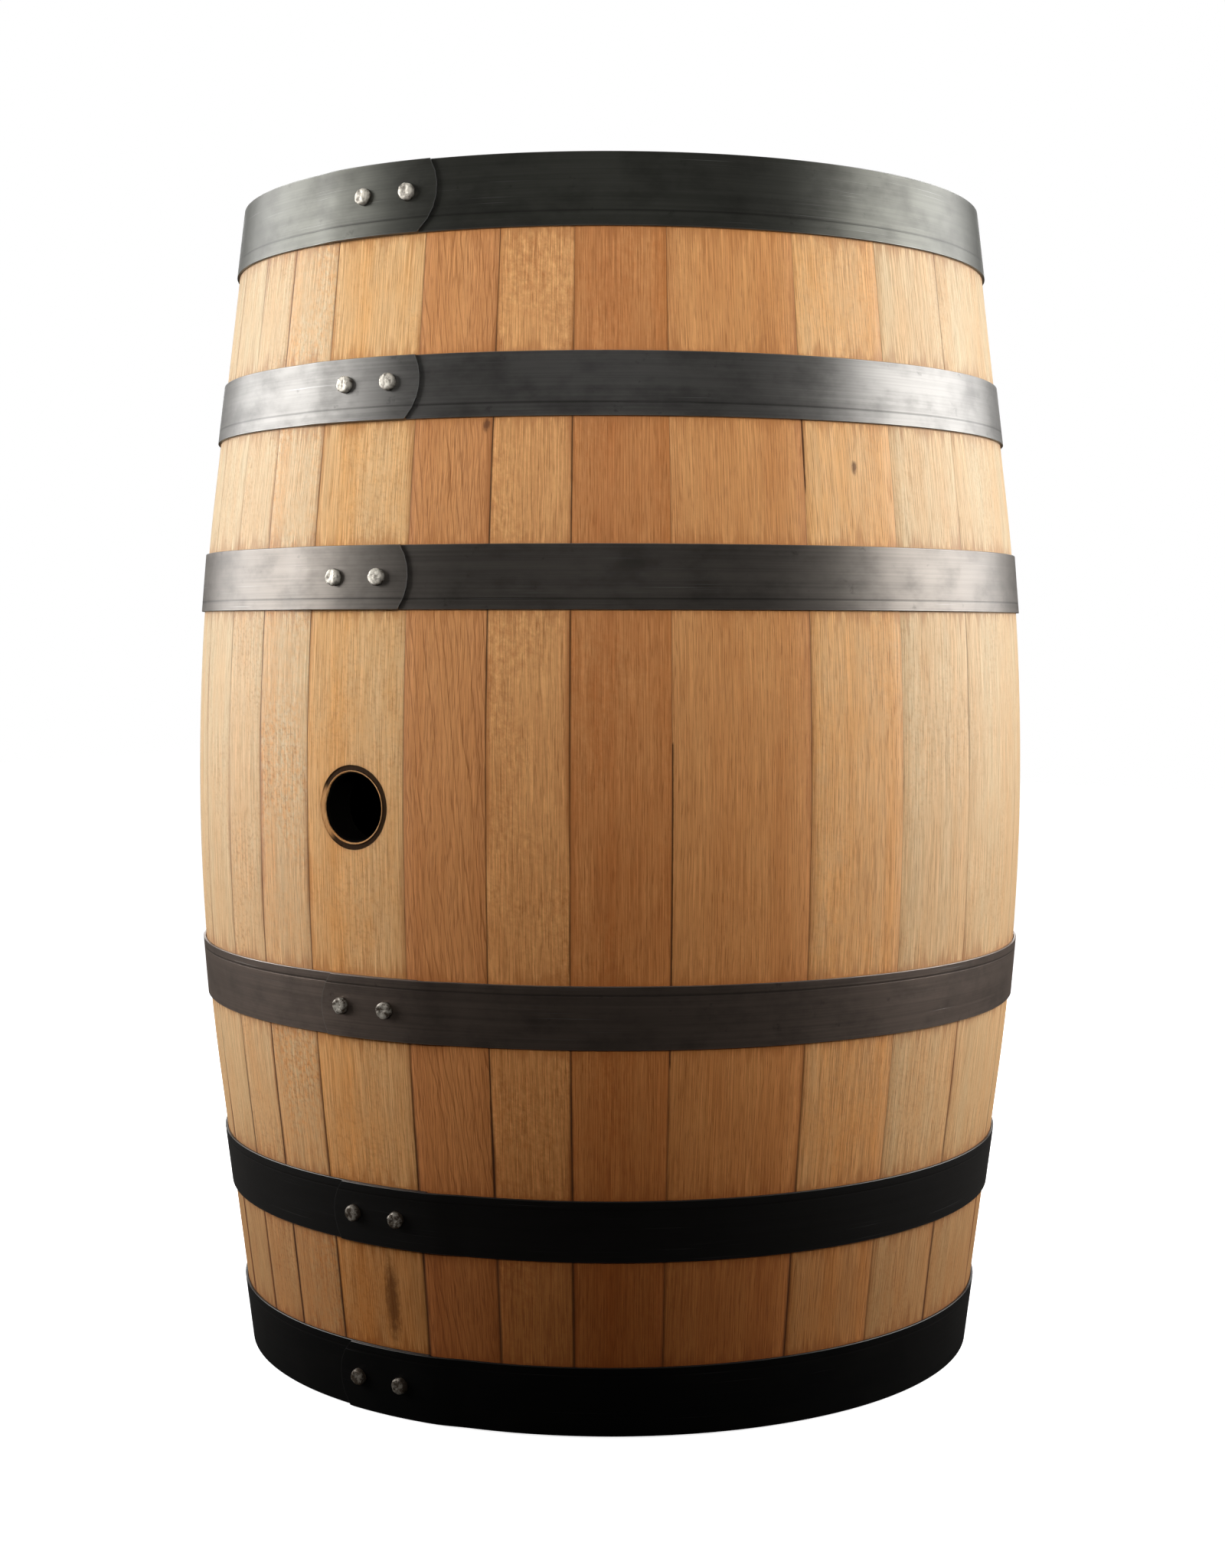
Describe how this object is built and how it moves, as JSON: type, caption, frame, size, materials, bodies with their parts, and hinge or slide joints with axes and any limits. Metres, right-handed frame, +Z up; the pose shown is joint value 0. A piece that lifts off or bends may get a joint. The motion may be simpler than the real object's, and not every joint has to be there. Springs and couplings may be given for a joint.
{
  "type": "oak wine barrel",
  "caption": "Upright oak wine barrel with riveted steel hoops, recessed heads and an open bung hole in the side.",
  "frame": {"origin": "centre of the bottom rim, on the surface the barrel stands on", "axes": "+Z up along the barrel's axis; -Y out through the bung hole"},
  "size_m": [0.6997, 0.7031, 0.95],
  "materials": {
    "stave_oak": "planed, unfinished oak",
    "head_oak": "planed, unfinished oak",
    "hoop_steel": "dark rolled steel strip",
    "rivet_steel": "hammered bright steel",
    "dowel_wood": "turned hardwood",
    "rush": "dried rush"
  },
  "bodies": {
    "root": {"bottom_bilge_hoop": "hoop_steel", "bottom_bilge_rivets": "rivet_steel", "bottom_chime_hoop": "hoop_steel", "bottom_chime_rivets": "rivet_steel", "bottom_head_board_1": "head_oak", "bottom_head_board_2": "head_oak", "bottom_head_board_3": "head_oak", "bottom_head_board_4": "head_oak", "bottom_head_board_5": "head_oak", "bottom_head_board_6": "head_oak", "bottom_head_dowels": "dowel_wood", "bottom_head_rush_strips": "rush", "bottom_quarter_hoop": "hoop_steel", "bottom_quarter_rivets": "rivet_steel", "bung_stave": "stave_oak", "stave_01": "stave_oak", "stave_02": "stave_oak", "stave_03": "stave_oak", "stave_04": "stave_oak", "stave_05": "stave_oak", "stave_06": "stave_oak", "stave_07": "stave_oak", "stave_08": "stave_oak", "stave_09": "stave_oak", "stave_10": "stave_oak", "stave_11": "stave_oak", "stave_12": "stave_oak", "stave_13": "stave_oak", "stave_14": "stave_oak", "stave_15": "stave_oak", "stave_16": "stave_oak", "stave_17": "stave_oak", "stave_18": "stave_oak", "stave_19": "stave_oak", "stave_20": "stave_oak", "stave_21": "stave_oak", "stave_22": "stave_oak", "stave_23": "stave_oak", "stave_24": "stave_oak", "stave_25": "stave_oak", "stave_26": "stave_oak", "stave_27": "stave_oak", "stave_28": "stave_oak", "stave_29": "stave_oak", "top_bilge_hoop": "hoop_steel", "top_bilge_rivets": "rivet_steel", "top_chime_hoop": "hoop_steel", "top_chime_rivets": "rivet_steel", "top_head_board_1": "head_oak", "top_head_board_2": "head_oak", "top_head_board_3": "head_oak", "top_head_board_4": "head_oak", "top_head_board_5": "head_oak", "top_head_board_6": "head_oak", "top_head_dowels": "dowel_wood", "top_head_rush_strips": "rush", "top_quarter_hoop": "hoop_steel", "top_quarter_rivets": "rivet_steel"}
  },
  "joints": []
}
